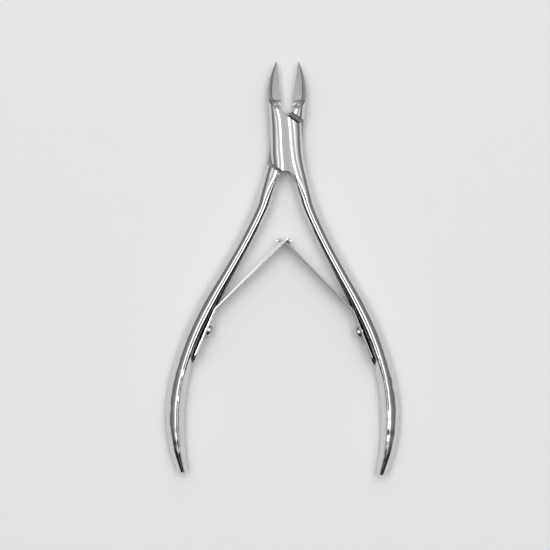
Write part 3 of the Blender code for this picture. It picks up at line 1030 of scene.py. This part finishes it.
@dataclass
class LeafSpring:
    """A flat leaf spring: screwed foot, bend, and free arm to the hook under the joint."""

    sizes: Sizes
    forging: Forging
    finish: bpy.types.Material
    painted_shade_finish: bpy.types.Material
    rim_painted_light: bpy.types.Material
    link_y: float = -24.0 * MM
    left_tip: tuple[float, float] = (0.45 * MM, 0.35 * MM)  # from the link on the middle line
    right_tip: tuple[float, float] = (0.55 * MM, -0.95 * MM)
    bend_radius: float = 1.2 * MM
    slot_start: float = 0.22 * MM
    slot_length: float = 1.5 * MM
    slot_width: float = 1.5 * MM
    tongue_width: float = 1.0 * MM
    tongue_length: float = 0.9 * MM
    bar_length: float = 4.0 * MM
    bar_height: float = 0.75 * MM
    bar_waist: float = 0.36 * MM
    bar_thickness: float = 0.6 * MM
    bar_x: float = -0.2 * MM
    bar_drop: float = 0.25 * MM
    bar_edge: float = 0.15 * MM
    bar_waist_end: float = 0.62  # where the bar has its full height, of half its length
    bar_end_start: float = 0.7
    bar_end: float = 0.12
    bar_steps: int = 40
    tongue_shift: float = 0.7 * MM
    tongue_half: float = 0.55  # of the leaf's thickness
    edge_round: float = 0.2 * MM
    shade_turn: float = 0.45  # how far a rim's face turns inward before it gets the painted shade
    arm_steps: int = 40
    bend_steps: int = 8
    foot_steps: int = 20
    end_steps: int = 16
    end_width: float = 0.06  # of the strip's half width, left at the foot's very end
    bend_share: float = 0.45  # a share of the free arm
    hole_sides: int = 48

    @property
    def side(self) -> int:
        """Side of the handle that it is screwed to."""
        return self.forging.half.value

    @property
    def name(self) -> str:
        """Node that it stands for."""
        return "right_spring" if self.side > 0 else "left_spring"

    @property
    def bar_y(self) -> float:
        """Height of the hook's cross bar."""
        return self.link_y - self.bar_drop

    def corners(self) -> tuple[Vector, Vector, Vector]:
        """Corners of the leaf's middle line.

        Returns:
            The bend, the end of the foot and the tip.
        """
        s = self.sizes
        place = self.forging.foot_frame()
        inset = -(s.fit + s.leaf_thickness / 2)
        up = (s.screw_drop - s.foot_start) / place[1][1]
        x, rise = self.right_tip if self.side > 0 else self.left_tip
        low = place @ Vector((inset, up - s.foot_length, 0))
        return place @ Vector((inset, up, 0)), low, Vector((x, self.link_y + rise, s.middle))

    def line(self) -> tuple[list[Vector], Vector]:
        """The strip's middle line.

        Returns:
            Points from the tip to the foot's end, and the centre of its round end.
        """
        bend, low, tip = self.corners()
        to_tip, to_low = (tip - bend).normalized(), (low - bend).normalized()
        half = math.acos(max(-1.0, min(1.0, -to_tip.dot(to_low)))) / 2
        back = self.bend_radius * math.tan(half)
        start, end = bend + to_tip * back, bend + to_low * back
        points = [tip.lerp(start, step / self.arm_steps) for step in range(self.arm_steps)]
        for step in range(self.bend_steps + 1):
            t = step / self.bend_steps
            points.append((1 - t) ** 2 * start + 2 * t * (1 - t) * bend + t * t * end)
        points += [end.lerp(low, step / self.foot_steps) for step in range(1, self.foot_steps)]
        radius = self.sizes.leaf_width / 2
        centre = low + (end - low).normalized() * radius
        # The round end has points of its own, clear of the straight foot's last one
        points = [p for p in points if (p - low).length > radius * 1.02]
        for step in range(self.end_steps + 1):
            share = math.sin(math.pi / 2 * step / self.end_steps) * 0.998
            points.append(centre + (low - centre) * share)
        return points, centre

    def strip(self) -> bpy.types.Object:
        """The bent strip with its rounded foot and softened edges.

        Returns:
            The strip, not yet pierced.
        """
        points, centre = self.line()
        radius = self.sizes.leaf_width / 2
        low = points[-1]
        across = (-1, -0.9, -0.5, 0, 0.5, 0.9, 1)
        bm = bmesh.new()
        rows = []
        for point in points:
            half = radius
            if (low - point).length < (low - centre).length:
                past = (point - centre).length
                half = math.sqrt(max(radius**2 - past**2, (self.end_width * radius) ** 2))
            rows.append([bm.verts.new(point + Vector((0, 0, half * z))) for z in across])
        for one, two in zip(rows, rows[1:]):
            for i in range(len(across) - 1):
                bm.faces.new((one[i], one[i + 1], two[i + 1], two[i]))
        made = keep_mesh(self.name + "_finished", bm, self.finish)
        # The rims and their rounded edges get this leaf's painted rim light: a painted highlight on
        # the left leaf, painted shade on the right one
        made.data.materials.append(self.rim_painted_light)
        shell = made.modifiers.new("gauge", "SOLIDIFY")
        shell.thickness = self.sizes.leaf_thickness
        shell.offset = 0.0
        shell.use_even_offset = True
        shell.material_offset_rim = 1
        soft = made.modifiers.new("edges", "BEVEL")
        soft.width = self.edge_round
        soft.segments = 5
        soft.limit_method = "ANGLE"
        soft.angle_limit = math.radians(50)
        soft.material = 1
        settle(made)
        self.paint_inner_shade(made)
        return made

    def paint_inner_shade(self, made: bpy.types.Object) -> None:
        """Gives the strip's rim faces that turn inward, inside the vee, a darker finish as painted
        shade.

        Args:
            made: the strip.
        """
        made.data.materials.append(self.painted_shade_finish)
        for face in made.data.polygons:
            inward = -self.side * face.normal.x - face.normal.y
            if face.material_index == 1 and inward > self.shade_turn:
                face.material_index = 2

    def tip_frame(self) -> Matrix:
        """Frame at the leaf's tip.

        Returns:
            A matrix with local X down the leaf and local Z towards the front.
        """
        bend, _, tip = self.corners()
        down = (bend - tip).normalized()
        across = Vector((0, 0, 1)).cross(down)
        return Matrix((
            (down.x, across.x, 0, tip.x),
            (down.y, across.y, 0, tip.y),
            (0, 0, 1, tip.z),
            (0, 0, 0, 1),
        ))

    def extruded(
        self, outline: list[tuple[float, float]], depth: float, bevel: float
    ) -> bpy.types.Object:
        """A flat outline given depth about the middle plane, with softened rims in painted shade.

        Args:
            outline: its corners, anticlockwise from the front.
            depth: how thick it is.
            bevel: how much its rims are softened.

        Returns:
            The solid.
        """
        bm = bmesh.new()
        middle = self.sizes.middle
        low = [bm.verts.new((x, y, middle - depth / 2)) for x, y in outline]
        high = [bm.verts.new((x, y, middle + depth / 2)) for x, y in outline]
        count = len(outline)
        bm.faces.new(low[::-1])
        bm.faces.new(high)
        for i in range(count):
            j = (i + 1) % count
            bm.faces.new((low[i], low[j], high[j], high[i]))
        # Without softening the whole piece gets the painted shade; with it, only the softened rims
        # do
        made = keep_mesh("tool", bm, self.finish if bevel else self.painted_shade_finish)
        if bevel:
            made.data.materials.append(self.painted_shade_finish)
            soft = made.modifiers.new("rim_painted_lights", "BEVEL")
            soft.width = bevel
            soft.segments = 3
            soft.limit_method = "ANGLE"
            soft.angle_limit = math.radians(60)
            soft.material = 1
            settle(made)
        return made

    def bar_outline(self) -> list[tuple[float, float]]:
        """Bow-tie outline of the cross bar, waisted where it passes through the slot.

        Returns:
            Its corners, anticlockwise from the front.
        """
        upper = []
        for step in range(self.bar_steps + 1):
            u = -math.cos(math.pi * step / self.bar_steps)
            bulge = min(1.0, (abs(u) / self.bar_waist_end) ** 2)
            past = max(0.0, (abs(u) - self.bar_end_start) / (1 - self.bar_end_start))
            taper = math.sqrt(max(0.0, 1 - past**2))
            half = mix(self.bar_waist, self.bar_height, bulge) / 2 * max(taper, self.bar_end)
            upper.append((self.bar_x + u * self.bar_length / 2, half))
        lower = [(x, self.bar_y - half) for x, half in upper]
        return lower + [(x, self.bar_y + half) for x, half in upper[::-1]]

    def hook_tools(self) -> Tools:
        """The slot of the left leaf, or the tongue and cross bar of the right one.

        Returns:
            Cutters and pieces to join, each with its operation.
        """
        s = self.sizes
        place = self.tip_frame()
        if self.side < 0:
            half = self.slot_width / 2
            slot = box_tool(
                (self.slot_start, -2 * s.leaf_thickness, -half),
                (self.slot_start + self.slot_length, 2 * s.leaf_thickness, half), place, self.finish,
            )
            return [(slot, CUT)]
        # The cross bar's softened rims and the whole tongue are in painted shade
        bar = self.extruded(self.bar_outline(), self.bar_thickness, self.bar_edge)
        root = place @ Vector((self.tongue_length, 0, 0))
        head = Vector((self.bar_x + self.tongue_shift, self.bar_y, s.middle))
        along = (head - root).normalized()
        across = Vector((along.y, -along.x, 0)) * s.leaf_thickness * self.tongue_half
        outline = [(p.x, p.y) for p in (root - across, root + across, head + across, head - across)]
        return [(bar, JOIN), (self.extruded(outline, self.tongue_width, 0.0), JOIN)]

    def build(self) -> bpy.types.Object:
        """Makes the leaf, pierced for its screw and with its hook.

        Returns:
            The leaf.
        """
        s = self.sizes
        made = self.strip()
        place = self.forging.foot_frame() @ Matrix.Rotation(math.pi / 2, 4, "Y")
        hole = round_tool(
            s.screw_shank / 2 + s.fit, -s.screw_depth, s.screw_depth, place, self.finish,
            self.hole_sides,
        )
        carve(made, [(hole, CUT), *self.hook_tools()])
        shade(made)
        bend, _, tip = self.corners()
        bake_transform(made)
        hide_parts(self.name)
        return made


@dataclass
class SpringScrew:
    """A domed screw with a driver's slot, through the leaf's foot into the handle."""

    sizes: Sizes
    forging: Forging
    finish: bpy.types.Material
    slot_width: float = 0.42 * MM
    slot_depth: float = 0.45 * MM
    slot_turn: float = math.radians(24)
    rim: float = 0.35  # height of the head's rim, as a share of its dome's
    chamfer: float = 0.08 * MM
    dome_steps: int = 16
    sides: int = 72

    @property
    def name(self) -> str:
        """Node that it stands for."""
        return "right_spring_screw" if self.forging.half is Half.FRONT else "left_spring_screw"

    def profile(self) -> list[tuple[float, float]]:
        """The screw's turned outline.

        Returns:
            Radius and height, from the top of the dome to the end of the shank.
        """
        s = self.sizes
        seat = s.leaf_thickness + 2 * s.fit
        radius, rim = s.screw_head / 2, self.rim * s.screw_dome
        points = [(0.0, seat + s.screw_dome)]
        for step in range(1, self.dome_steps + 1):
            angle = math.pi / 2 * step / self.dome_steps
            height = mix(rim, s.screw_dome, math.cos(angle))
            points.append((radius * math.sin(angle), seat + height))
        shank, end = s.screw_shank / 2, seat - s.screw_depth
        points += [(radius, seat + self.chamfer), (radius - self.chamfer, seat)]
        return points + [(shank, seat), (shank, end), (0.0, end)]

    def build(self) -> bpy.types.Object:
        """Makes the screw and seats it on its leaf.

        Returns:
            The screw.
        """
        s = self.sizes
        profile = self.profile()
        mesh = bpy.data.meshes.new(self.name + "_finished")
        edges = [(i, i + 1) for i in range(len(profile) - 1)]
        mesh.from_pydata([(radius, 0, height) for radius, height in profile], edges, [])
        mesh.materials.append(self.finish)
        made = bpy.data.objects.new(mesh.name, mesh)
        bpy.context.scene.collection.objects.link(made)
        turn = made.modifiers.new("turn", "SCREW")
        turn.steps = self.sides
        turn.render_steps = self.sides
        turn.use_merge_vertices = True
        turn.merge_threshold = 0.01 * MM
        settle(made)
        top = s.leaf_thickness + 2 * s.fit + s.screw_dome
        reach, half = s.screw_head, self.slot_width / 2
        slot = box_tool(
            (-half, -reach, top - self.slot_depth), (half, reach, top + MM),
            Matrix.Rotation(self.slot_turn * self.forging.half.value, 4, "Z"), self.finish,
        )
        carve(made, [(slot, CUT)])
        made.data.transform(self.forging.foot_frame() @ Matrix.Rotation(-math.pi / 2, 4, "Y"))
        shade(made)
        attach(made, self.forging.body)
        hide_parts(self.name)
        return made


@dataclass
class Rivet:
    """The joint's rivet: its head is ground flush with the flat back."""

    finish: bpy.types.Material
    node: str = "pivot_rivet"

    def dress(self) -> bpy.types.Object:
        """Gives the rivet the dull finish of the back.

        Returns:
            The rivet, as the frame carries it.
        """
        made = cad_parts[self.node]
        made.data.materials.clear()
        made.data.materials.append(self.finish)
        shade(made)
        return made


@dataclass
class Studio:
    """Plain pale floor, soft light and a camera straight above.

    The room's brightness is given by direction: its strip, shade and card begin at a share of
    the way along X or Y, and each fades over a soft edge.
    """

    centre: tuple[float, float] = (-2.4 * MM, -32.8 * MM)
    cover: float = 137.5 * MM  # width that the camera sees at the floor
    height: float = 0.6
    roll: float = math.radians(0.76)
    sensor_mm: float = 36.0
    clip: tuple[float, float] = (0.01, 10.0)
    floor_colour: str = "#f7f7f7"
    floor_size: float = 3.0
    floor_gap: float = 0.02 * MM
    horizon: float = 0.2
    sky: float = 2.0
    sky_curve: float = 4.0
    shade: float = 0.1
    shade_range: tuple[float, float] = (-0.32, -0.17)
    strip: float = 0.45
    strip_half: float = 0.1
    strip_soft: float = 0.03
    card: float = 0.02
    card_start: float = -0.2
    card_soft: float = 0.06
    box_glow: float = 2.1
    box_span: tuple[float, float] = (0.126, 0.53)
    box_y: float = 0.3
    box_height: float = 1.2
    box_length: float = 1.1

    def floor(self) -> None:
        """A wide matte sheet under the nipper."""
        bm = bmesh.new()
        bmesh.ops.create_grid(bm, x_segments=1, y_segments=1, size=self.floor_size / 2)
        bmesh.ops.translate(bm, vec=(0, 0, CAD_BOX[0][2] - self.floor_gap), verts=bm.verts)
        card = bpy.data.materials.new("pale_card")
        card.use_nodes = True
        shader = card.node_tree.nodes["Principled BSDF"]
        shader.inputs["Base Color"].default_value = srgb(self.floor_colour)
        shader.inputs["Roughness"].default_value = 0.9
        shader.inputs["Specular IOR Level"].default_value = 0.1
        keep_mesh("floor", bm, card)

    def softbox(self, name: str, side: int) -> None:
        """A soft rectangular light above one side, facing down.

        Args:
            name: the light's name.
            side: 1 for the right, -1 for the left.
        """
        near, far = self.box_span
        data = bpy.data.lights.new(name, "AREA")
        data.shape = "RECTANGLE"
        data.size, data.size_y = far - near, self.box_length
        data.energy = self.box_glow * math.pi * data.size * data.size_y
        lamp = bpy.data.objects.new(name, data)
        bpy.context.scene.collection.objects.link(lamp)
        lamp.location = (self.centre[0] + side * (near + far) / 2, self.box_y, self.box_height)

    def fade(
        self, tree: bpy.types.NodeTree, source: tuple[bpy.types.Node, str],
        start: tuple[float, float], end: tuple[float, float],
    ) -> tuple[bpy.types.Node, str]:
        """A soft change from one brightness to another along a direction.

        Args:
            tree: the room's nodes.
            source: the direction's node and output.
            start: where the change begins, and the brightness there.
            end: where it ends, and the brightness there.

        Returns:
            The new node and its output.
        """
        made = add_node(
            tree, "ShaderNodeMapRange",
            {
                "interpolation_type": "SMOOTHSTEP", "From Min": start[0], "From Max": end[0],
                "To Min": start[1], "To Max": end[1],
            },
            {"Value": source},
        )
        return made, "Result"

    def world(self) -> None:
        """A room that is bright above and darker towards the horizon.

        A dim strip lies right above the nipper, where the camera's rail hangs, and a black
        card beyond the handles.
        """
        room = bpy.data.worlds.new("room")
        bpy.context.scene.world = room
        room.use_nodes = True
        tree = room.node_tree
        place = add_node(tree, "ShaderNodeTexCoord")
        split = add_node(tree, "ShaderNodeSeparateXYZ", links={"Vector": (place, "Generated")})
        aside = add_node(tree, "ShaderNodeMath", {"operation": "ABSOLUTE"}, {0: (split, "X")})
        height = add_node(
            tree, "ShaderNodeMapRange", {"From Min": 0.0, "From Max": 1.0}, {"Value": (split, "Z")}
        )
        curve = add_node(
            tree, "ShaderNodeMath", {"operation": "POWER", 1: self.sky_curve},
            {0: (height, "Result")},
        )
        rise = add_node(
            tree, "ShaderNodeMath", {"operation": "MULTIPLY_ADD", 1: self.sky, 2: self.horizon},
            {0: (curve, "Value")},
        )
        low, high = self.shade_range
        behind = self.fade(tree, (split, "Y"), (low, self.shade), (high, 1.0))
        sky = add_node(
            tree, "ShaderNodeMath", {"operation": "MULTIPLY"}, {0: (rise, "Value"), 1: behind}
        )
        card_y, strip_x = self.card_start, self.strip_half
        beyond = self.fade(
            tree, (split, "Y"), (card_y + self.card_soft, self.strip), (card_y, self.card)
        )
        clear = self.fade(
            tree, (aside, "Value"), (strip_x, 0.0), (strip_x + self.strip_soft, 1.0)
        )
        tone = add_node(
            tree, "ShaderNodeMix", {"data_type": "FLOAT"}, {0: clear, 2: beyond, 3: (sky, "Value")}
        )
        back = tree.nodes["Background"]
        tree.links.new(tone.outputs[0], back.inputs["Color"])
        back.inputs["Strength"].default_value = 1.0

    def camera(self) -> None:
        """A long lens straight above, rolled a little as the tool lies."""
        data = bpy.data.cameras.new("camera")
        data.sensor_width = self.sensor_mm
        data.lens = self.sensor_mm * self.height / self.cover
        data.clip_start, data.clip_end = self.clip
        eye = bpy.data.objects.new("camera", data)
        bpy.context.scene.collection.objects.link(eye)
        eye.location = (*self.centre, self.height)
        eye.rotation_euler = (0.0, 0.0, self.roll)
        bpy.context.scene.camera = eye

    def build(self) -> None:
        """Sets the whole stage."""
        self.floor()
        self.world()
        self.softbox("left_box", -1)
        self.softbox("right_box", 1)
        self.camera()
        bpy.context.scene.view_settings.view_transform = "Standard"


def main() -> None:
    """Builds and dresses the nipper, piece by piece."""
    logging.basicConfig(level=logging.INFO, format="%(name)s: %(message)s")
    low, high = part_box("front_half")
    sizes = Sizes(jaw_length=high.y, handle_length=-low.y, thickness=high.z - low.z)
    finishes = {
        "polished": POLISHED.build(), "satin": SATIN.build(), "blade": BLADE_GROUND.build(),
        "stone": STONE_GROUND.build(), "milled": MILLED_PAINTED_SHADE.build(), "band": BAND.build(),
        "hollow": HOLLOW.build(),
    }
    # The dark spring steel is painted shade for the hook and the leaves' inward rims
    strip, painted_shade, turned = STRIP.build(), PAINTED_SHADE_STEEL.build(), TURNED.build()
    # The left leaf's rims get a painted highlight, the right leaf's painted shade
    rim_painted_lights = {Half.BACK: RIM_PAINTED_HIGHLIGHT.build(), Half.FRONT: RIM_PAINTED_SHADE.build()}
    Studio().build()
    for half in Half:
        forging = Forging(sizes, half, finishes)
        steps: tuple[Callable[[], bpy.types.Object], ...] = (
            forging.build,
            LeafSpring(sizes, forging, strip, painted_shade, rim_painted_lights[half]).build,
            SpringScrew(sizes, forging, turned).build,
        )
        for step in steps:
            made = step()
            LOG.info("%s: %d faces", made.name, len(made.data.polygons))
    LOG.info("%s dressed", Rivet(finishes["stone"]).dress().name)


if __name__ == "__main__":
    main()
